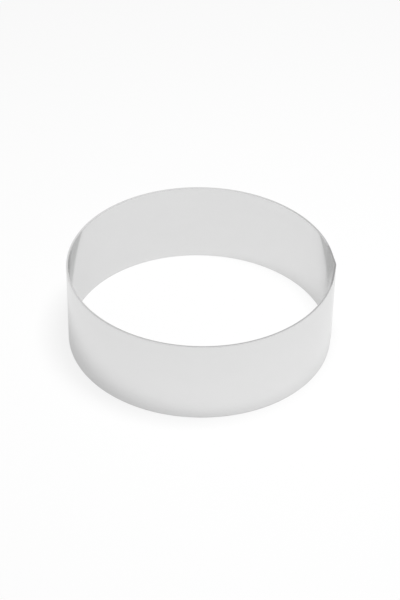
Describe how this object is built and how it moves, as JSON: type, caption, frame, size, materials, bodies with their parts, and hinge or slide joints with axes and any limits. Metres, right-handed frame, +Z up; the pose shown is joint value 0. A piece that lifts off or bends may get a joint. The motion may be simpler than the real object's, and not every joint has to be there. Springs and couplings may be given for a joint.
{
  "type": "cake ring",
  "caption": "Open-ended round hoop of bright stainless steel, rolled from strip and closed by an upright butt weld, for baking, setting or cutting out round cakes.",
  "frame": {"origin": "on the hoop's axis, level with its lower edge", "axes": "+Z up along the hoop's axis, +X out through the weld seam"},
  "size_m": [0.1839, 0.183, 0.06],
  "materials": {
    "rolled_steel": "bright rolled stainless steel, smooth enough to mirror what it stands on",
    "dressed_weld": "stainless steel weld, ground along the seam and polished"
  },
  "bodies": {
    "root": {"band": "rolled_steel", "seam_weld": "dressed_weld"}
  },
  "joints": []
}
